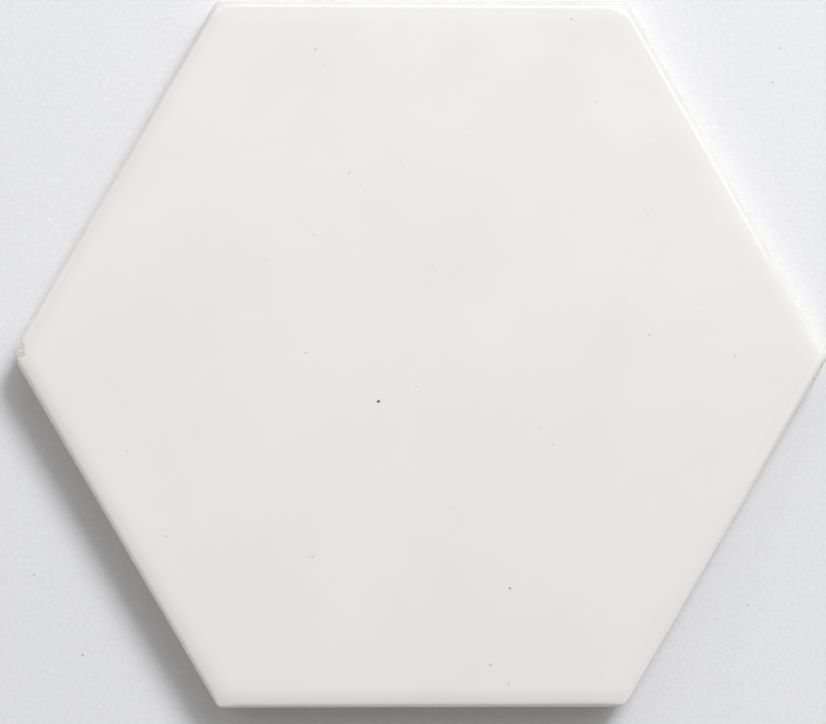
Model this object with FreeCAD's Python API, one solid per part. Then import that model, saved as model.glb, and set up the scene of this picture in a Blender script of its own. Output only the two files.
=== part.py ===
import FreeCAD, Part
import math
import os

# One hexagon floor tile, pressed and fired as a single piece.
# The origin is the centre of the back. +Z goes up through the glazed face, +X points at a corner
# and +Y is square to a side. Lengths are in millimetres and angles in degrees.

# Outline, seen from above
across_flats = 150.0
thickness = 9.5
corner_radius = 2.0

# Cushioned edge: the face falls away gently towards the sides, then turns over a rounded arris
cushion_radius = 18.0
cushion_width = 4.5
face_corner_radius = 3.2
arris_radius = 1.7

# Side walls: upright below the arris, then tapered in towards the back, which has a broken edge
taper_height = 4.0
taper_angle = 2.5
back_bevel = 0.5

# Keyed back: rings of shallow hexagon pockets with ribs between them and a plain rim around
key_rings = 5
key_depth = 0.8
key_rib = 2.4
key_rim = 6.0
key_draft = 30.0

# What follows from the sizes above
sides = 6
half_angle = math.pi / sides
apothem = across_flats / 2
back_inset = (taper_height - back_bevel) * math.tan(math.radians(taper_angle))
back_apothem = apothem - back_inset - back_bevel


def direction(angle):
    return FreeCAD.Vector(math.cos(angle), math.sin(angle), 0)


def corner_angles(first_corner=0.0):
    return [first_corner + 2 * half_angle * side for side in range(sides)]


def corner_points(apothem, centre, first_corner=0.0):
    """Corners of a hexagon around centre, apothem being the distance to its sides."""
    reach = apothem / math.cos(half_angle)
    return [centre + reach * direction(angle) for angle in corner_angles(first_corner)]


def rounded_hexagon(apothem, radius, z):
    """Closed outline of the tile at height z, with an arc at each corner."""
    arcs = []
    centres = corner_points(apothem - radius, FreeCAD.Vector(0, 0, z))
    for centre, angle in zip(centres, corner_angles()):
        sweep = [centre + radius * direction(angle + turn) for turn in (-half_angle, 0, half_angle)]
        arcs.append(Part.Arc(*sweep).toShape())
    edges = []
    for arc, following in zip(arcs, arcs[1:] + arcs[:1]):
        straight = Part.LineSegment(arc.lastVertex().Point, following.firstVertex().Point)
        edges += [arc, straight.toShape()]
    return Part.Wire(edges)


def prism(outline, height):
    return Part.Face(outline).extrude(FreeCAD.Vector(0, 0, height))


def foot():
    """Lower part of the body: the broken back edge, then walls that lean out to the upright part."""
    back = rounded_hexagon(back_apothem, corner_radius - back_inset, 0)
    over_bevel = rounded_hexagon(back_apothem + back_bevel, corner_radius - back_inset, back_bevel)
    wall_start = rounded_hexagon(apothem, corner_radius, taper_height)
    return Part.makeLoft([back, over_bevel, wall_start], True, True)


def cushion_blank():
    """Wider, deeper prism with its upper edge rolled over; the side walls cut that arc off early."""
    beyond_wall = cushion_radius - cushion_width
    depth = 2 * cushion_radius
    corner = face_corner_radius + cushion_radius
    blank = prism(rounded_hexagon(apothem + beyond_wall, corner, thickness - depth), depth)
    top_edges = [edge for edge in blank.Edges if edge.BoundBox.ZMin > thickness - 0.001]
    return blank.makeFillet(cushion_radius, top_edges)


def arris_edges(solid):
    """Edges where the cushion meets the walls: they touch neither the face nor the walls' foot."""
    heights = [round(v.Z, 6) for v in solid.Vertexes]
    low, high = min(heights), max(heights)
    return [edge for edge in solid.Edges if all(low < round(v.Z, 6) < high for v in edge.Vertexes)]


def crown():
    """Upper part of the body: upright walls, the arris, the cushioned edge and the flat face."""
    upright = prism(rounded_hexagon(apothem, corner_radius, taper_height), thickness - taper_height)
    cushioned = upright.common(cushion_blank())
    return cushioned.makeFillet(arris_radius, arris_edges(cushioned))


def key_pitch():
    """Pocket spacing at which the corners of the outermost row end at the plain rim."""
    room = back_apothem - key_rim + key_rib / 2 / math.cos(half_angle)
    return room / (key_rings * math.cos(half_angle) + 0.5 / math.cos(half_angle))


def key_centres(pitch):
    """Middles of the pockets: one in the centre and the rings around it."""
    steps = range(-key_rings, key_rings + 1)
    for across in steps:
        for up in steps:
            if abs(across + up) <= key_rings:
                yield FreeCAD.Vector(pitch * (across + up / 2), pitch * up * math.cos(half_angle), 0)


def key_pocket(centre, mouth_apothem):
    """One pocket, its flat walls leaning in from the mouth on the back to the floor."""
    lean = key_depth * math.tan(math.radians(key_draft))
    raised = centre + FreeCAD.Vector(0, 0, key_depth)
    mouth = corner_points(mouth_apothem, centre, half_angle)
    floor = corner_points(mouth_apothem - lean, raised, half_angle)
    loops = [mouth, floor]
    for side in range(sides):
        loops.append([mouth[side - 1], mouth[side], floor[side], floor[side - 1]])
    faces = [Part.Face(Part.makePolygon(loop + loop[:1])) for loop in loops]
    return Part.makeSolid(Part.makeShell(faces))


def hexagon_tile():
    body = foot().fuse(crown()).removeSplitter()
    pitch = key_pitch()
    pockets = [key_pocket(centre, (pitch - key_rib) / 2) for centre in key_centres(pitch)]
    return body.cut(pockets).Solids[0]


tile = hexagon_tile()
os.makedirs("parts", exist_ok=True)
tile.exportStep("parts/hexagon_tile.step")
print("hexagon_tile:", len(tile.Faces), "faces,", round(tile.Volume / 1000, 2), "cubic centimetres")
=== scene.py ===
import bpy
import math
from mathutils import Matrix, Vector


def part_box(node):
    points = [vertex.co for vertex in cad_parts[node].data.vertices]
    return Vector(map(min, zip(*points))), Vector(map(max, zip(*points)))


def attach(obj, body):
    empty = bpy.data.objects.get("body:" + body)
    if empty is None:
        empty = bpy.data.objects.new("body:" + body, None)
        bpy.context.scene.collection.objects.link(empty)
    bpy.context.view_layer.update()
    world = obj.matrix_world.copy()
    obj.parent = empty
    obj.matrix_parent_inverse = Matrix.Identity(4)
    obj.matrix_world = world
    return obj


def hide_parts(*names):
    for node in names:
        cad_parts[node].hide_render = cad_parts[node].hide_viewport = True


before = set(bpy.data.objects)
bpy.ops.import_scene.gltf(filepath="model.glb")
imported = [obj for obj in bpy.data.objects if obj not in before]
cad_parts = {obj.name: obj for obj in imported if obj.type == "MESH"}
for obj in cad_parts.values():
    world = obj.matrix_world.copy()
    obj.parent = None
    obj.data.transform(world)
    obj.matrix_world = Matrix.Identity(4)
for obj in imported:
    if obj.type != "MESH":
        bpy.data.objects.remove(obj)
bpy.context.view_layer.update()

mm = 0.001
tiny = 0.001  # stands in for nothing where a share is divided or compared
weldDistance = 0.002 * mm  # points closer than this are made one
print("frame loaded")

# a regular hexagon, seen from its centre
halfSide = math.pi / 6  # from the middle of a side to its corner
sinHalf, cosHalf, tanHalf = math.sin(halfSide), math.cos(halfSide), math.tan(halfSide)


# node helpers: a Term is a number that comes out of a node and can be used in a formula
class Term:
    def __init__(self, tree, socket):
        self.tree = tree
        self.socket = socket

    def maths(self, operation, *others, clamp=False):
        node = self.tree.nodes.new("ShaderNodeMath")
        node.operation = operation
        node.use_clamp = clamp
        for slot, value in zip(node.inputs, (self,) + others):
            plug(self.tree, value, slot)
        return Term(self.tree, node.outputs[0])

    def __add__(self, other):
        return self.maths("ADD", other)

    def __mul__(self, other):
        return self.maths("MULTIPLY", other)

    def __sub__(self, other):
        return self.maths("SUBTRACT", other)

    def __rsub__(self, other):
        return self * -1 + other

    def __truediv__(self, other):
        return self.maths("DIVIDE", other)

    __radd__ = __add__
    __rmul__ = __mul__

    def clamped(self):
        return self.maths("ADD", 0, clamp=True)

    def root(self):
        return self.maths("MAXIMUM", 0).maths("SQRT")

    def ramp(self, start, width):
        # 0 up to start, and 1 once this is width past it
        return ((self - start) / width).clamped()

    def blend(self, start, end):
        # start where this is 0, end where it is 1
        return start + self * (end - start)

    def centred(self, strength):
        # noise from 0 to 1 made a swing to both sides of 0
        return (self - 0.5) * strength

    def contrast(self, strength):
        return (self.centred(strength) + 0.5).clamped()


def plug(tree, value, slot):
    if isinstance(value, Term):
        tree.links.new(value.socket, slot)
    elif isinstance(value, bpy.types.NodeSocket):
        tree.links.new(value, slot)
    else:
        slot.default_value = value


def addNode(tree, kind, inputs=None, **settings):
    node = tree.nodes.new(kind)
    for name, value in settings.items():
        setattr(node, name, value)
    for name, value in (inputs or {}).items():
        plug(tree, value, node.inputs[name])
    return node


def separated(tree, vector):
    split = addNode(tree, "ShaderNodeSeparateXYZ", {"Vector": vector})
    return [Term(tree, output) for output in split.outputs]


def combined(tree, *values):
    joined = addNode(tree, "ShaderNodeCombineXYZ")
    for slot, value in zip(joined.inputs, values):
        plug(tree, value, slot)
    return joined.outputs[0]


def scaled(tree, vector, factor):
    return addNode(tree, "ShaderNodeVectorMath", {0: vector, "Scale": factor}, operation="SCALE").outputs[0]


def noiseNode(tree, waves, vector=None, roughness=0.5):
    wavelength, detail = waves
    inputs = {"Scale": 1 / wavelength, "Detail": detail, "Roughness": roughness}
    if vector is not None:
        inputs["Vector"] = vector
    return addNode(tree, "ShaderNodeTexNoise", inputs)


def noise(tree, waves, vector=None, roughness=0.5):
    return Term(tree, noiseNode(tree, waves, vector, roughness).outputs[0])


def hypotenuse(x, y):
    return (x * x + y * y).root()


def towards(x, y, degrees):
    # how far a place lies from the middle, measured in one direction
    angle = math.radians(degrees)
    return x * math.cos(angle) + y * math.sin(angle)


# geometry helpers
def formTree(name, sizes, objects=()):
    # an empty geometry tree with a named input for each size and object, and its inputs as Terms
    tree = bpy.data.node_groups.new(name, "GeometryNodeTree")
    tree.interface.new_socket(name="Geometry", in_out="OUTPUT", socket_type="NodeSocketGeometry")
    kinds = {**dict.fromkeys(sizes, "NodeSocketFloat"), **dict.fromkeys(objects, "NodeSocketObject")}
    for item, kind in kinds.items():
        tree.interface.new_socket(name=item, in_out="INPUT", socket_type=kind)
    source = tree.nodes.new("NodeGroupInput")
    return tree, {item: Term(tree, source.outputs[item]) for item in kinds}


def endTree(tree, geometry, material):
    inputs = {"Geometry": realized(tree, geometry), "Material": material}
    finished = addNode(tree, "GeometryNodeSetMaterial", inputs).outputs[0]
    tree.links.new(finished, tree.nodes.new("NodeGroupOutput").inputs[0])


def placed(name, data):
    thing = bpy.data.objects.new(name, data)
    bpy.context.scene.collection.objects.link(thing)
    return thing


def growMesh(name, tree, inputs):
    # runs the tree once and keeps the result as a plain mesh
    holder = placed(name + "Form", bpy.data.meshes.new(name + "Seed"))
    modifier = holder.modifiers.new("form", "NODES")
    modifier.node_group = tree
    for item in tree.interface.items_tree:
        if item.in_out == "INPUT":
            modifier[item.identifier] = inputs[item.name]
    graph = bpy.context.evaluated_depsgraph_get()
    grown = holder.evaluated_get(graph)
    mesh = bpy.data.meshes.new_from_object(grown, preserve_all_data_layers=True, depsgraph=graph)
    bpy.data.objects.remove(holder)
    mesh.name = name
    return placed(name, mesh)


def position(tree):
    return separated(tree, addNode(tree, "GeometryNodeInputPosition").outputs[0])


def objectGeometry(tree, thing):
    return addNode(tree, "GeometryNodeObjectInfo", {"Object": thing}).outputs["Geometry"]


def moved(tree, mesh, **places):
    return addNode(tree, "GeometryNodeSetPosition", {"Geometry": mesh, **places}).outputs[0]


def joinedGeometry(tree, parts):
    joined = tree.nodes.new("GeometryNodeJoinGeometry")
    for part in parts:
        tree.links.new(part, joined.inputs[0])
    return joined.outputs[0]


def merged(tree, mesh, distance):
    inputs = {"Geometry": mesh, "Distance": distance}
    return addNode(tree, "GeometryNodeMergeByDistance", inputs).outputs[0]


def realized(tree, copies):
    return addNode(tree, "GeometryNodeRealizeInstances", {"Geometry": copies}).outputs[0]


def stored(tree, mesh, name, value, kind="FLOAT"):
    inputs = {"Geometry": mesh, "Name": name, "Value": value}
    node = addNode(tree, "GeometryNodeStoreNamedAttribute", inputs, data_type=kind, domain="POINT")
    return node.outputs[0]


def recalled(tree, name, kind="FLOAT"):
    node = addNode(tree, "GeometryNodeInputNamedAttribute", {"Name": name}, data_type=kind)
    return Term(tree, node.outputs[0])


def squareGrid(tree, side, cells):
    inputs = {"Size X": side, "Size Y": side, "Vertices X": cells + 1, "Vertices Y": cells + 1}
    return addNode(tree, "GeometryNodeMeshGrid", inputs).outputs[0]


def ringedThirds(tree, rings, cornerShare, start=0.0, crowding=1.0):
    # three grids, each a third of a hexagon, with rings of faces round the hexagon's middle;
    # cornerShare of a ring's faces turn its corners and the others make its sides
    grid = squareGrid(tree, 2.0, rings)
    x, y, _ = position(tree)
    across = (x + 1) * (rings / 2)
    up = (y + 1) * (rings / 2)
    ring = across.maths("MAXIMUM", up)
    share = across.maths("MINIMUM", up) / ring.maths("MAXIMUM", tiny)
    second = up.maths("GREATER_THAN", across)  # 0 on the first side of the third, 1 on the second
    along = (share * 2 - 1) * (1 - second * 2)  # from corner to corner of the side, -1 to 1
    reach = along.maths("ABSOLUTE")
    past = 1 - (reach / (1 - cornerShare)).clamped()
    third = {
        "mesh": grid,
        "ring": ring,
        "straight": 1 - past.maths("POWER", crowding),
        "turned": reach.ramp(1 - cornerShare, cornerShare),
        "hand": along.maths("SIGN"),
    }
    for turn in range(3):
        side = second * (math.pi / 3) + (halfSide + start + turn * 2 * math.pi / 3)
        slide = third["straight"] * third["hand"] * tanHalf
        c, s = side.maths("COSINE"), side.maths("SINE")
        yield {**third, "side": side, "sharp": (c - slide * s, s + slide * c)}


def zoneShares(third, rings):
    # how far a point has come through each zone, from 0 at its inner ring to 1 at its outer one
    done, share = 0, {}
    for zone, count in rings.items():
        share[zone] = third["ring"].ramp(done, count)
        done += count
    return share


def outlinePoint(tree, third, arm, radius, z):
    # on a rounded hexagon: arm * (point of a sharp hexagon) + radius * (outward direction)
    outward = third["side"] + third["turned"] * third["hand"] * halfSide
    x = arm * third["sharp"][0] + radius * outward.maths("COSINE")
    y = arm * third["sharp"][1] + radius * outward.maths("SINE")
    return combined(tree, x, y, z)


def wholeHexagon(tree, thirds):
    return merged(tree, joinedGeometry(tree, thirds), weldDistance)


# the fired tile: face and walls are one shell, and the back is a grid of pockets; its overall
# sizes come from its solid
tileLow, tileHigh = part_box("hexagon_tile")
apothem = (tileHigh.y - tileLow.y) / 2
thickness = tileHigh.z - tileLow.z
cornerCut = apothem / cosHalf - tileHigh.x  # how far its rounding pulls a corner in

tileForm = {
    "Apothem": apothem,
    "Thickness": thickness,
    "Corner Radius": cornerCut / (1 / cosHalf - 1),
    "Face Corner Radius": 3.2 * mm,
    "Cushion Radius": 18.0 * mm,
    "Cushion Width": 4.5 * mm,
    "Arris Radius": 1.77 * mm,
    "Arris Swing": 0.38 * mm,  # more of it on one side of the tile, less on the other
    "Corner Arris": 0.165 * mm,  # added to it by a corner
    "Corner Arris Swing": 0.88 * mm,  # the same towards one side, and taken off towards the other
    "Corner Softness": 4.2 * mm,  # distance from a corner at which those set in
    "Least Corner": 0.9 * mm,  # least radius of the outline's corners
    "Taper Height": 4.0 * mm,
    "Back Inset": 0.15 * mm,
    "Back Bevel": 0.5 * mm,
    "Glaze Ripple": 0.03 * mm,
    "Ripple Rise": 2.0 * mm,  # height over which the ripple sets in
    "Glaze Edge Height": 5.7 * mm,
    "Glaze Edge Wander": 3.2 * mm,
}
arrisSide = 68  # degrees: the side on which the glaze rounds the arris most
tileRings = {"face": 56, "cushion": 18, "arris": 10, "wall": 6, "taper": 3, "bevel": 1}
cornerFaces = 6  # so many of the outermost ring's faces on each side turn its corners
cornerCrowding = 1.6  # above 1, the other faces crowd towards the corners
rippleWaves = ((22 * mm, 1.0, 0.8), (5 * mm, 1.0, 0.2))  # wavelength, detail and share
glazeEdgeWaves = (9 * mm, 3.0)  # wavelength and detail
crispAngle = 38  # degrees: edges that turn more than this aren't shaded smooth


def inBlank(third, arm, radius, blankApothem, blankRadius):
    # depth of a point inside the wider, rounder hexagon that the cushion is rolled from
    straight, turned = third["straight"], third["turned"]
    offCorner = (1 - turned) * halfSide
    along = arm * (straight * (sinHalf * tanHalf) + cosHalf) + radius * offCorner.maths("COSINE")
    beside = arm * ((1 - straight) * sinHalf) + radius * offCorner.maths("SINE")
    toSide = arm + radius * (turned * halfSide).maths("COSINE")
    past = along - (blankApothem - blankRadius) / cosHalf
    cornerDepth = blankRadius - hypotenuse(past, beside)
    sideDepth = blankApothem - toSide
    atCorner = beside.maths("LESS_THAN", past * tanHalf)
    return atCorner.blend(sideDepth, cornerDepth)


def arrisRadius(size, third):
    toSwing = towards(*third["sharp"], arrisSide)
    toCorner = (1 - third["straight"]) * size["Apothem"] * tanHalf
    toCorner = toCorner + (1 - third["turned"]) * size["Corner Radius"] * halfSide
    near = (1 - toCorner / size["Corner Softness"]).clamped()
    extra = near * near * (toSwing * size["Corner Arris Swing"] + size["Corner Arris"])
    return size["Arris Radius"] + size["Arris Swing"] * toSwing + extra


def glazedThird(tree, size, third):
    # face, cushion, arris, wall, taper and back edge of one third, from the middle outwards
    share = zoneShares(third, tileRings)
    cushion, corner, arris = size["Cushion Radius"], size["Corner Radius"], arrisRadius(size, third)
    beyond = cushion - size["Cushion Width"]
    blank = (size["Apothem"] + beyond, size["Face Corner Radius"] + cushion)
    wallArm = size["Apothem"] - corner
    faceArm = size["Apothem"] - size["Cushion Width"] - size["Face Corner Radius"]

    # where the arris takes over from the cushion, which is narrower by a corner
    width = cushion - inBlank(third, wallArm, corner, *blank)
    lean = ((width - arris) / (cushion - arris)).maths("ARCSINE")
    arrisCentre = size["Thickness"] - cushion + (cushion - arris) * lean.maths("COSINE")
    arrisInset = arris * (1 - lean.maths("SINE"))
    turn = share["arris"].blend(lean, math.pi / 2)

    # outline of this ring
    arm = share["face"] * share["cushion"].blend(faceArm, wallArm) - share["bevel"] * size["Back Bevel"]
    radius = share["face"] * share["cushion"].blend(size["Face Corner Radius"], corner - arrisInset)
    radius = radius + arrisInset - arris * (1 - turn.maths("SINE")) - share["taper"] * size["Back Inset"]
    least = radius.maths("MAXIMUM", share["face"] * size["Least Corner"])  # never turned inside out
    arm, radius = arm + radius - least, least

    # height of this ring
    fall = (cushion - inBlank(third, arm, radius, *blank)).maths("MAXIMUM", 0)
    rolled = size["Thickness"] - cushion + (cushion * cushion - fall * fall).root()
    below = arrisCentre + arris * turn.maths("COSINE")
    below = below - share["wall"] * (arrisCentre - size["Taper Height"])
    below = below - share["taper"] * (size["Taper Height"] - size["Back Bevel"])
    below = below - share["bevel"] * size["Back Bevel"]
    below = below.maths("MINIMUM", rolled)  # no step where a corner has been held open
    onArris = share["cushion"].maths("GREATER_THAN", 1 - tiny)
    spot = outlinePoint(tree, third, arm, radius, onArris.blend(rolled, below))

    # 0 to 1 over the cushion and 1 to 2 over the arris, for the finish
    edge = (share["cushion"] + share["arris"]) * (1 - share["taper"])
    return moved(tree, stored(tree, third["mesh"], "edgeBand", edge), Position=spot)


def glazedShell(tree, size):
    total = sum(tileRings.values())
    thirds = ringedThirds(tree, total, cornerFaces / total, crowding=cornerCrowding)
    return wholeHexagon(tree, [glazedThird(tree, size, third) for third in thirds])


keyForm = {
    "Pitch": 14.21 * mm,
    "Rib": 2.4 * mm,
    "Depth": 0.8 * mm,
    "Wall Lean": 0.46 * mm,
    "Pocket Corner": 1.3 * mm,
}
keyRings = 5  # rings of pockets round the middle one
cellRings = {"floor": 2, "slope": 5, "rib": 1}  # rings of faces in one pocket
pocketCornerShare = 0.5  # of a pocket's faces turn its corners
cellWeldDistance = 0.01 * mm


def keyCellThird(tree, size, third):
    # floor and slope of a pocket, and half of the rib round it
    share = zoneShares(third, cellRings)
    mouth = (size["Pitch"] - size["Rib"]) / 2
    pocket = share["slope"].blend(mouth - size["Wall Lean"], mouth) * share["floor"]
    apart = share["rib"].blend(pocket, size["Pitch"] / 2)
    corner = size["Pocket Corner"] * share["floor"] * (1 - share["rib"])
    smooth = share["slope"] * share["slope"] * (3 - share["slope"] * 2)
    spot = outlinePoint(tree, third, apart - corner, corner, size["Depth"] * (1 - smooth))
    return moved(tree, third["mesh"], Position=spot)


def keyCells(tree, size):
    # pockets of the back: one rounded hexagon cell, repeated on a lattice
    thirds = ringedThirds(tree, sum(cellRings.values()), pocketCornerShare, halfSide)
    cell = wholeHexagon(tree, [keyCellThird(tree, size, third) for third in thirds])
    lattice = squareGrid(tree, 2.0 * keyRings, 2 * keyRings)
    across, up, _ = position(tree)
    outside = (across + up).maths("ABSOLUTE").maths("GREATER_THAN", keyRings + 0.5)
    inputs = {"Geometry": lattice, "Selection": outside}
    kept = addNode(tree, "GeometryNodeDeleteGeometry", inputs, domain="POINT").outputs[0]
    middle = combined(tree, (across + up * sinHalf) * size["Pitch"], up * size["Pitch"] * cosHalf)
    inputs = {"Points": moved(tree, kept, Position=middle), "Instance": cell}
    copies = addNode(tree, "GeometryNodeInstanceOnPoints", inputs).outputs[0]
    return merged(tree, realized(tree, copies), cellWeldDistance)


def openEdges(tree, mesh):
    # the edges that have one face only
    faces = Term(tree, addNode(tree, "GeometryNodeInputMeshEdgeNeighbors").outputs[0])
    inputs = {"Mesh": mesh, "Selection": faces.maths("LESS_THAN", 2)}
    return addNode(tree, "GeometryNodeMeshToCurve", inputs).outputs[0]


def rippled(tree, mesh, size):
    # the glaze lies a little unevenly, always inside the tile's true form
    normal = addNode(tree, "GeometryNodeInputNormal").outputs[0]
    height = position(tree)[2]
    waves = sum(noise(tree, wave) * share for *wave, share in rippleWaves)
    upper = height.ramp(size["Taper Height"], size["Ripple Rise"])
    depth = waves * size["Glaze Ripple"] * upper * -1
    return moved(tree, mesh, Offset=scaled(tree, normal, depth))


def glazeCover(tree, mesh, size):
    # how far, in mm, each point lies inside the glaze; below zero the body is bare
    wander = noise(tree, glazeEdgeWaves).centred(size["Glaze Edge Wander"])
    cover = (position(tree)[2] - size["Glaze Edge Height"] - wander) / mm
    return stored(tree, mesh, "glazeCover", cover)


# a flake has broken off the left corner and bares the body; places are from the corner's own point
chipForm = {
    "Chip Corner": -tileLow.x,
    "Chip Beyond": 0.6 * mm,
    "Chip Up": 1.2 * mm,
    "Chip Reach": 3.2 * mm,
    "Chip Depth": 0.2 * mm,
    "Chip Brink": 0.5 * mm,
    "Chip Face": 0.5 * mm,
    "Chip Rise": 1.0 * mm,
    "Chip Raggedness": 1.3 * mm,
    "Chip Grooves": 0.4 * mm,
    "Bare Depth": 0.05 * mm,
    "Fresh Depth": 0.12 * mm,
    "Whole Cover": 2.0,  # glaze cover, in millimetres, where a scar has no depth yet
}
chipOutline = (1.1 * mm, 3.0)  # wavelength and detail
chipGrooves = (0.6 * mm, 2.0)


def chipped(tree, mesh, size):
    # takes the flake off, and marks its scar as bare and freshly broken
    x, y, z = position(tree)
    away = x + size["Chip Corner"] + size["Chip Beyond"]
    aside = y - size["Chip Up"]
    ragged = noise(tree, chipOutline).centred(size["Chip Raggedness"])
    grooves = noise(tree, chipGrooves).centred(size["Chip Grooves"])
    reach = size["Chip Reach"] - hypotenuse(away, aside) + ragged
    upper = z.ramp(size["Taper Height"], size["Chip Rise"])
    lost = (reach / size["Chip Brink"]).clamped() * (size["Chip Depth"] + grooves) * upper
    pushed = (size["Chip Face"] - size["Chip Corner"] + grooves - x).maths("MAXIMUM", 0) * upper
    depth = lost.maths("MAXIMUM", pushed)
    bared = recalled(tree, "glazeCover").maths("MINIMUM", size["Whole Cover"] - depth / size["Bare Depth"])
    marked = stored(tree, mesh, "glazeCover", bared)
    marked = stored(tree, marked, "freshBreak", (depth / size["Fresh Depth"]).clamped())
    offset = combined(tree, pushed, 0, lost.maths("MAXIMUM", 0) * -1)
    return merged(tree, moved(tree, marked, Offset=offset), weldDistance)


def buildTile(material):
    sizes = {**tileForm, **keyForm, **chipForm}
    tree, size = formTree("hexagon tile form", sizes)
    shell = glazedShell(tree, size)
    cells = keyCells(tree, size)
    loops = joinedGeometry(tree, [openEdges(tree, mesh) for mesh in (shell, cells)])
    rim = addNode(tree, "GeometryNodeFillCurve", {"Curve": loops}, mode="TRIANGLES").outputs[0]
    back = joinedGeometry(tree, [cells, rim])
    turnedBack = addNode(tree, "GeometryNodeFlipFaces", {"Mesh": back}).outputs[0]
    whole = joinedGeometry(tree, [rippled(tree, shell, size), turnedBack])
    covered = glazeCover(tree, merged(tree, whole, weldDistance), size)
    inputs = {"Geometry": chipped(tree, covered, size)}
    endTree(tree, addNode(tree, "GeometryNodeSetShadeSmooth", inputs).outputs[0], material)
    tile = growMesh("fired_tile", tree, sizes)
    tile.data.set_sharp_from_angle(angle=math.radians(crispAngle))
    return tile


# shader helpers
def colourMix(tree, factor, first, second):
    # a mix node has sockets for several kinds of value, and these numbers are its colours
    mix = tree.nodes.new("ShaderNodeMix")
    mix.data_type = "RGBA"
    plug(tree, factor, mix.inputs["Factor"])
    plug(tree, first, mix.inputs[6])
    plug(tree, second, mix.inputs[7])
    return mix.outputs[2]


def shaderTree(name):
    material = bpy.data.materials.new(name)
    material.use_nodes = True
    tree = material.node_tree
    coords = addNode(tree, "ShaderNodeTexCoord").outputs["Object"]
    return material, tree, tree.nodes["Principled BSDF"], coords


def addRelief(tree, shader, strength, depth, height):
    inputs = {"Strength": strength, "Distance": depth, "Height": height}
    plug(tree, addNode(tree, "ShaderNodeBump", inputs).outputs[0], shader.inputs["Normal"])


def marking(tree, name):
    return Term(tree, addNode(tree, "ShaderNodeAttribute", attribute_name=name).outputs["Fac"])


# the tile's finish. Waves are a wavelength and a detail. A band is a place on the rounded edge, 0 to 1
# over the cushion and 1 to 2 over the arris, and the width over which it sets in. A side is a
# direction in degrees and two shares of the apothem, where it begins and where it is full. A corner
# is its direction, its reach and the width over which it fades.
glazeLook = {
    "white": (0.806, 0.802, 0.785, 1),
    "shade": (0.780, 0.776, 0.757, 1),
    "cloudWaves": (24 * mm, 3.0),
    "cloudContrast": 2.4,
    "gloss": 0.35,
    "glazeRoughness": 0.17,
    "peelWaves": (1.6 * mm, 1.0),
    "peelHeight": 0.06,
    "glazeLineWaves": (0.9 * mm, 3.0),
    "glazeLineWander": 0.9,
    "glazeLineSharpness": 4,
    # thin glaze, through which the body shows, and painted shade on the rounded edge, mostly on the side
    # towards the light
    "thinAndShade": (0.515, 0.53, 0.51, 1),
    "thinAndShadeWarm": (0.555, 0.52, 0.50, 1),
    "blushWaves": (6 * mm, 2.0),
    "blushContrast": 3,
    "blushSide": (200, -0.5, 0.3),
    "thinAndShadeLevel": 0.7,
    "patchWaves": (4 * mm, 3.0),
    "patchiness": 0.5,
    "thinAndShadeBand": (1.12, 0.2),
    "paintedShadeSide": (75, -0.5, 0.55),
    "shadeBeforeTop": 0.85,
    "topSide": (95, 0.5, 1),
    "limbShade": 0.25,
    "limbBand": (1.4, 0.6),
    "limbLoss": 0.8,
    "limbLossSide": (95, 0.6, 1),
    # painted shade over the rounded edge, strongest on the upper left side
    "slopeShadeStrength": 0.28,
    "slopeSide": (130, -1, 1),
    # the right corner is dull and has painted shade on the upper part of its rounded edge, the lower left
    # one is worn, and the lower right one has a darker brown rim on its arris
    "dullCorner": (0, 37 * mm, 20 * mm),
    "dullBand": (0.6, 0.5),
    "dullRoughness": 0.5,
    # painted shade on the rounded edge by the right corner, on its upper side
    "dullShadeStrength": 0.2,
    "dullShadeEnd": (1.15, 0.25),
    "dullShadeSide": (90, 0, 0.12),
    "speckleWaves": (1 * mm, 2.0),
    "speckling": 3,
    "worn": (0.79, 0.765, 0.73, 1),
    "wornCorner": (240, 2.6 * mm, 1 * mm),
    "brownRim": (0.54, 0.47, 0.41, 1),
    "brownRimCorner": (300, 3.2 * mm, 1 * mm),
    "brownRimBand": (1.5, 0.2),
    # the bare body
    "body": (0.73, 0.685, 0.625, 1),
    "bodyDark": (0.62, 0.575, 0.52, 1),
    "fresh": (0.72, 0.695, 0.665, 1),
    "freshDark": (0.58, 0.555, 0.53, 1),
    "bodyWaves": (0.5 * mm, 4.0),
    "bodyRamp": (0.4, 0.25),
    "bodyRoughness": 0.85,
    "relief": 1.0,
    "reliefDepth": 0.05 * mm,
}


def onSide(x, y, side):
    direction, start, full = side
    return (towards(x, y, direction) / apothem).ramp(start, full - start)


def nearCorner(x, y, corner):
    # 0 at the reach from a corner's own point, below it outside, and 1 where it has faded in
    direction, reach, fade = corner
    angle = math.radians(direction)
    beside = (x - tileHigh.x * math.cos(angle), y - tileHigh.x * math.sin(angle))
    return (reach - hypotenuse(*beside)) / fade


def thinGlazeAndShade(tree, coords, edge, x, y):
    # the arris has thin glaze and painted shade, with more painted shade at the limb, mostly towards the
    # upper side where the light comes from
    look = glazeLook
    patches = noise(tree, look["patchWaves"], coords).centred(look["patchiness"]) + look["thinAndShadeLevel"]
    limb = edge.ramp(*look["limbBand"]) * (1 - onSide(x, y, look["limbLossSide"]) * look["limbLoss"])
    thinAndShade = (edge.ramp(*look["thinAndShadeBand"]) * patches + limb * look["limbShade"]).clamped()
    top = onSide(x, y, look["topSide"]).blend(look["shadeBeforeTop"], 1)
    return thinAndShade * onSide(x, y, look["paintedShadeSide"]) * top


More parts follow.
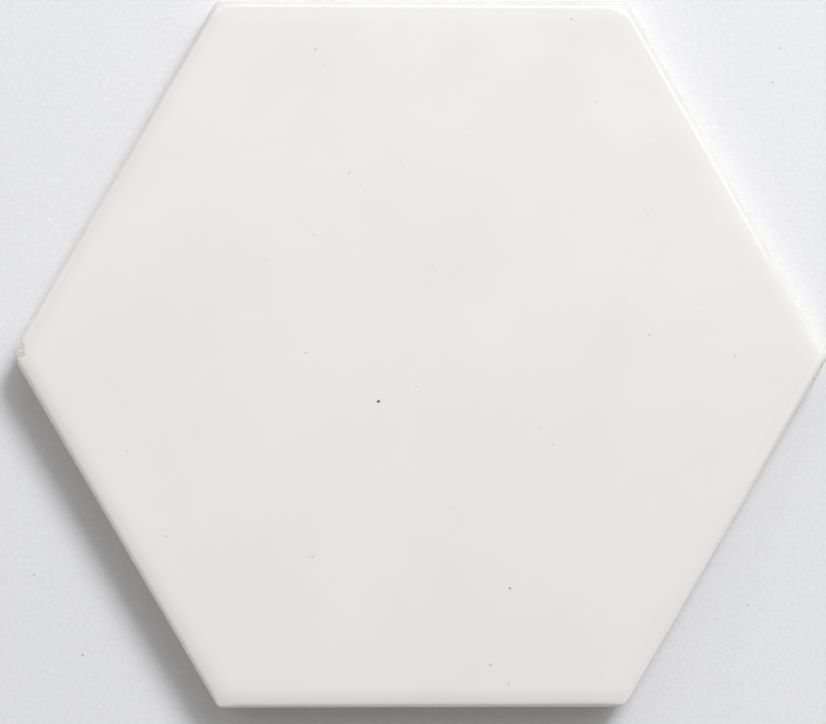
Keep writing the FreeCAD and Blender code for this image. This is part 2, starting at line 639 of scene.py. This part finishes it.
def firedTileMaterial():
    material, tree, shader, coords = shaderTree("glazed white tile")
    look = glazeLook
    cover, edge, fresh = (marking(tree, name) for name in ("glazeCover", "edgeBand", "freshBreak"))
    x, y, _ = separated(tree, coords)
    wander = noise(tree, look["glazeLineWaves"], coords).centred(look["glazeLineWander"])
    glazed = ((cover + wander) * look["glazeLineSharpness"] + 0.5).clamped()

    # glaze: clouded white, with thin glaze and painted shade on the rounded edge
    cloud = noise(tree, look["cloudWaves"], coords).contrast(look["cloudContrast"])
    glaze = colourMix(tree, cloud, look["white"], look["shade"])
    dull = nearCorner(x, y, look["dullCorner"]).clamped() * edge.ramp(*look["dullBand"])
    # painted shade on the rounded edge by the right corner, on its upper side
    dullShadeMask = dull * (1 - edge.ramp(*look["dullShadeEnd"])) * onSide(x, y, look["dullShadeSide"])
    thinAndShade = (thinGlazeAndShade(tree, coords, edge, x, y) + dullShadeMask * look["dullShadeStrength"]).clamped()
    # painted shade over the rounded edge, strongest on the upper left side
    slope = edge.clamped() * edge.clamped() * onSide(x, y, look["slopeSide"]) * look["slopeShadeStrength"]
    blush = noise(tree, look["blushWaves"], coords).contrast(look["blushContrast"])
    thinAndShadeColour = colourMix(tree, blush * onSide(x, y, look["blushSide"]), look["thinAndShade"], look["thinAndShadeWarm"])
    glaze = colourMix(tree, thinAndShade.maths("MAXIMUM", slope), glaze, thinAndShadeColour)

    # wear on the lower left corner, and a darker brown rim on the outer arris at the lower right one
    speckles = noise(tree, look["speckleWaves"], coords).centred(look["speckling"])
    worn = (nearCorner(x, y, look["wornCorner"]) + speckles).clamped()
    glaze = colourMix(tree, worn, glaze, look["worn"])
    # darker brown on the outermost arris by the lower right corner
    brownRim = (nearCorner(x, y, look["brownRimCorner"]) + speckles).clamped()
    glaze = colourMix(tree, brownRim * edge.ramp(*look["brownRimBand"]), glaze, look["brownRim"])

    # body, and both together
    grain = noise(tree, look["bodyWaves"], coords)
    grainy = grain.ramp(*look["bodyRamp"])
    freshBody = colourMix(tree, grainy, look["freshDark"], look["fresh"])
    body = colourMix(tree, fresh, colourMix(tree, grainy, look["bodyDark"], look["body"]), freshBody)
    shine = dull.blend(look["glazeRoughness"], look["dullRoughness"])
    peel = noise(tree, look["peelWaves"], coords) * look["peelHeight"]
    plug(tree, colourMix(tree, glazed, body, glaze), shader.inputs["Base Color"])
    plug(tree, glazed.blend(look["bodyRoughness"], shine), shader.inputs["Roughness"])
    plug(tree, (1 - dull) * look["gloss"], shader.inputs["Specular IOR Level"])
    addRelief(tree, shader, look["relief"], look["reliefDepth"], glazed.blend(grain, peel))
    return material


# mineral grains that came up through the glaze: place from the tile's middle in mm, width in mm
# and darkness
grainSpots = [
    (-9.2, -9.6, 0.75, 0.94), (18.7, -49.4, 0.62, 0.62), (14.6, -65.7, 0.60, 0.38),
    (31.4, 71.0, 0.47, 0.42), (-15.3, 38.7, 0.56, 0.30), (-22.4, 64.6, 0.60, 0.29),
    (27.7, -18.8, 0.56, 0.25), (-23.2, -42.6, 0.62, 0.24), (66.3, 0.0, 0.64, 0.24),
    (48.2, 4.5, 0.56, 0.30), (18.5, -69.8, 0.56, 0.28), (-24.5, 0.7, 0.56, 0.24),
    (84.9, -2.2, 0.50, 0.6), (83.4, -4.9, 0.55, 0.65),
]
grainForm = {
    "Height": 0.015 * mm,
    "Slope Height": 0.21 * mm,  # a grain on the rounded edge stands out more
    "Long Radius": 0.54,  # share of the width
    "Short Radius": 0.46,
    "Sink": 0.006 * mm,
    "Unevenness": 0.24 * mm,
    "Faint Reach": 68 * mm,
    "Faint Flatness": 0.99,  # least upward part of the face's direction
    "Faint Density": 1500.0,
    "Faint Width": 0.56 * mm,
    "Faint Darkness": 0.2,
    "Faint Least": 0.7,  # share of that width and darkness that the slightest one has
    "Faint Spread": 0.5,  # and how much more the strongest one has
}
grainWaves = (0.35 * mm, 1.0)  # wavelength and detail
grainFineness = 3  # subdivisions of the ball that a grain starts as
faintSeed = 7
grainLook = {
    "dark": (0.05, 0.045, 0.04, 1),
    "brown": (0.16, 0.13, 0.11, 1),
    "mottleWaves": (0.4 * mm, 2.0),
    "roughness": 0.3,
}


def grainMaterial():
    material, tree, shader, coords = shaderTree("dark mineral grain")
    mottled = noise(tree, grainLook["mottleWaves"], coords)
    dark = colourMix(tree, mottled, grainLook["dark"], grainLook["brown"])
    shown = colourMix(tree, marking(tree, "darkness"), glazeLook["white"], dark)
    plug(tree, shown, shader.inputs["Base Color"])
    plug(tree, grainLook["roughness"], shader.inputs["Roughness"])
    return material


def grainPlaces():
    # a loose point above the tile for each grain that has its own place
    seed = bpy.data.meshes.new("grainPlaces")
    seed.from_pydata([(x * mm, y * mm, 2 * thickness) for x, y, *_ in grainSpots], [], [])
    for name, column, unit in (("width", 2, mm), ("darkness", 3, 1)):
        values = seed.attributes.new(name, "FLOAT", "POINT").data
        for item, spot in zip(values, grainSpots):
            item.value = spot[column] * unit
    return placed("grainPlaces", seed)


def faintGrains(tree, surface, size):
    # points for the pale grains strewn over the flat of the face, about twenty in all
    x, y, _ = position(tree)
    normal = addNode(tree, "GeometryNodeInputNormal").outputs[0]
    upwards = separated(tree, normal)[2].maths("GREATER_THAN", size["Faint Flatness"])
    onFace = hypotenuse(x, y).maths("LESS_THAN", size["Faint Reach"]) * upwards
    inputs = {"Mesh": surface, "Selection": onFace, "Density": size["Faint Density"], "Seed": faintSeed}
    strewn = addNode(tree, "GeometryNodeDistributePointsOnFaces", inputs).outputs[0]
    middles = {"width": size["Faint Width"], "darkness": size["Faint Darkness"]}
    for seed, (name, middle) in enumerate(middles.items()):
        share = Term(tree, addNode(tree, "FunctionNodeRandomValue", {"Seed": seed}).outputs[1])
        part = share * size["Faint Spread"] + size["Faint Least"]
        strewn = stored(tree, strewn, name, part * middle)
    return moved(tree, strewn, Offset=(0, 0, thickness))


def buildGrains(material, tile):
    objects = {"Places": grainPlaces(), "Tile": tile}
    tree, size = formTree("grain form", grainForm, objects)
    plain, surface = (objectGeometry(tree, size[name]) for name in objects)
    spots = joinedGeometry(tree, [plain, faintGrains(tree, surface, size)])

    # each point drops on to the glaze, and keeps how the glaze faces and how steep it is there
    ray = {"Target Geometry": surface, "Ray Direction": (0, 0, -1), "Ray Length": 3 * thickness}
    drop = addNode(tree, "GeometryNodeRaycast", ray).outputs
    normal = drop["Hit Normal"]
    facing = addNode(tree, "FunctionNodeAlignRotationToVector", {"Vector": normal}, axis="Z").outputs[0]
    spots = stored(tree, spots, "facing", facing, "QUATERNION")
    spots = stored(tree, spots, "steep", 1 - separated(tree, normal)[2])
    sunk = scaled(tree, normal, size["Sink"] * -1)
    landed = moved(tree, spots, Position=drop["Hit Position"], Offset=sunk)

    # a flattened ball on each point, pushed out of round
    width = recalled(tree, "width")
    height = recalled(tree, "steep") * size["Slope Height"] + size["Height"]
    radii = combined(tree, width * size["Long Radius"], width * size["Short Radius"], height)
    ball = addNode(tree, "GeometryNodeMeshIcoSphere", {"Radius": 1.0, "Subdivisions": grainFineness})
    inputs = {
        "Points": landed,
        "Instance": ball.outputs[0],
        "Rotation": recalled(tree, "facing", "QUATERNION"),
        "Scale": radii,
    }
    copies = addNode(tree, "GeometryNodeInstanceOnPoints", inputs).outputs[0]
    across, along, _ = separated(tree, noiseNode(tree, grainWaves).outputs["Color"])
    jitter = combined(tree, *(swing.centred(size["Unevenness"]) for swing in (across, along)))
    endTree(tree, moved(tree, realized(tree, copies), Offset=jitter), material)
    grains = growMesh("glaze_grains", tree, {**grainForm, **objects})
    bpy.data.objects.remove(objects["Places"])
    grains.data.shade_smooth()
    return grains


paperLook = {
    "light": (0.772, 0.782, 0.814, 1),
    "dark": (0.722, 0.731, 0.763, 1),
    "fibreWaves": (1.0 * mm, 4.0),
    "fibreRoughness": 0.65,
    "fibreContrast": 2.8,
    "specks": [  # spacing, size and colour
        (5.5 * mm, 0.34 * mm, (0.30, 0.30, 0.31, 1)),
        (4.6 * mm, 0.42 * mm, (0.88, 0.88, 0.89, 1)),
    ],
    "speckRarity": 0.55,  # share of the places that stay empty
    "roughness": 0.95,
    "gloss": 0.2,
    "relief": 0.5,
    "reliefDepth": 0.08 * mm,
    "reach": 3.0,
    "drop": 0.02 * mm,  # below the tile's back
}


def paperMaterial():
    material, tree, shader, coords = shaderTree("pale paper")
    look = paperLook
    fibre = noise(tree, look["fibreWaves"], coords, look["fibreRoughness"])
    colour = colourMix(tree, fibre.contrast(look["fibreContrast"]), look["dark"], look["light"])
    for spacing, width, tint in look["specks"]:
        cells = addNode(tree, "ShaderNodeTexVoronoi", {"Vector": coords, "Scale": 1 / spacing})
        chosen = separated(tree, cells.outputs["Color"])[0].maths("GREATER_THAN", look["speckRarity"])
        near = (1 - Term(tree, cells.outputs["Distance"]) * (spacing / width)).clamped()
        colour = colourMix(tree, near * chosen, colour, tint)
    plug(tree, colour, shader.inputs["Base Color"])
    plug(tree, look["roughness"], shader.inputs["Roughness"])
    plug(tree, look["gloss"], shader.inputs["Specular IOR Level"])
    addRelief(tree, shader, look["relief"], look["reliefDepth"], fibre)
    return material


def buildPaper():
    reach, drop = paperLook["reach"], paperLook["drop"]
    corners = [(x * reach, y * reach, -drop) for x, y in ((-1, -1), (1, -1), (1, 1), (-1, 1))]
    mesh = bpy.data.meshes.new("paper")
    mesh.from_pydata(corners, [], [(0, 1, 2, 3)])
    mesh.materials.append(paperMaterial())
    placed("paper", mesh)


tile = buildTile(firedTileMaterial())
print("tile:", len(tile.data.polygons), "faces")
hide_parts("hexagon_tile")
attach(tile, "root")

grains = buildGrains(grainMaterial(), tile)
print("grains:", len(grains.data.polygons), "faces")
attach(grains, "root")

buildPaper()
print("paper laid")

# light: a broad softbox from the upper right, brightest in its middle, weak cards all round, and a
# dim surround that is brightest low down; angles in degrees, lengths in metres, power in watts
keyLight = {"shape": "ELLIPSE", "azimuth": 61.5, "elevation": 40.5, "distance": 1.7}
farCard = {"distance": 1.7, "width": 1.2}
longCard = {"distance": 1.2, "width": 1.1, "height": 0.28}
smallCard = {"distance": 0.7, "width": 0.5, "height": 0.4}
panels = {
    "softboxMiddle": {**keyLight, "width": 0.64, "height": 0.6, "power": 20.7},
    "softbox": {**keyLight, "elevation": 44, "width": 2.45, "height": 1.0, "power": 12.4},
    "rightCard": {**farCard, "azimuth": 3, "elevation": 35, "height": 0.8, "power": 1.5},
    "lowCard": {**farCard, "azimuth": 52, "elevation": 17, "height": 0.4, "power": 0.8},
    "whiteCard": {**longCard, "azimuth": 335, "elevation": 7, "power": 1.9},
    "leftCard": {**smallCard, "azimuth": 148, "elevation": 35, "power": 0.64},
    "nearCard": {**longCard, "azimuth": 225, "elevation": 8, "power": 0.75},
}
surround = {
    "overhead": 0.145,
    "horizon": 0.92,
    "gather": 3.0,  # the higher, the closer the brightness keeps to the horizon
    "sideways": 0.45,  # share by which it is brighter on one side and dimmer on the other
    "brightSide": 152,
    "background": 0.8,  # strength that the camera itself sees
    "tint": (1.04, 1.0, 0.94, 1),
}


def addPanel(name, panel):
    azimuth, elevation = math.radians(panel["azimuth"]), math.radians(panel["elevation"])
    level = math.cos(elevation)
    away = Vector((math.cos(azimuth) * level, math.sin(azimuth) * level, math.sin(elevation)))
    lamp = bpy.data.lights.new(name, "AREA")
    lamp.shape = panel.get("shape", "RECTANGLE")
    lamp.size = panel["width"]
    lamp.size_y = panel["height"]
    lamp.energy = panel["power"]
    holder = placed(name, lamp)
    holder.location = away * panel["distance"]
    holder.rotation_euler = away.to_track_quat("Z", "Y").to_euler()


def addSurround():
    world = bpy.data.worlds.new("surround")
    bpy.context.scene.world = world
    world.use_nodes = True
    tree = world.node_tree
    x, y, z = separated(tree, addNode(tree, "ShaderNodeTexCoord").outputs["Generated"])
    low = (1 - z.clamped()).maths("POWER", surround["gather"])
    toSide = towards(x, y, surround["brightSide"]) * surround["sideways"] + 1
    glow = low.blend(surround["overhead"], surround["horizon"]) * toSide
    seen = Term(tree, addNode(tree, "ShaderNodeLightPath").outputs["Is Camera Ray"])
    background = tree.nodes["Background"].inputs
    plug(tree, seen.blend(glow, surround["background"]), background["Strength"])
    plug(tree, surround["tint"], background["Color"])


for name, panel in panels.items():
    addPanel(name, panel)
addSurround()
print("lights placed")

# camera: nearly straight above, a few degrees off square, as the photograph's outline shows
viewPoint = {
    "place": (-11.74 * mm, 27.06 * mm, 600 * mm),
    "tilt": (-2.743, -0.955, 0.017),  # degrees
    "focalPixels": 2797,
    "frameWidth": 826,  # pixels of the photograph
    "sensorWidth": 36,
    "nearest": 10 * mm,
    "farthest": 20,
}
camera = placed("camera", bpy.data.cameras.new("camera"))
camera.location = viewPoint["place"]
camera.rotation_euler = [math.radians(angle) for angle in viewPoint["tilt"]]
camera.data.sensor_fit = "HORIZONTAL"
camera.data.sensor_width = viewPoint["sensorWidth"]
camera.data.lens = viewPoint["focalPixels"] * viewPoint["sensorWidth"] / viewPoint["frameWidth"]
camera.data.clip_start = viewPoint["nearest"]
camera.data.clip_end = viewPoint["farthest"]
bpy.context.scene.camera = camera
bpy.context.scene.view_settings.view_transform = "Standard"
print("camera placed")
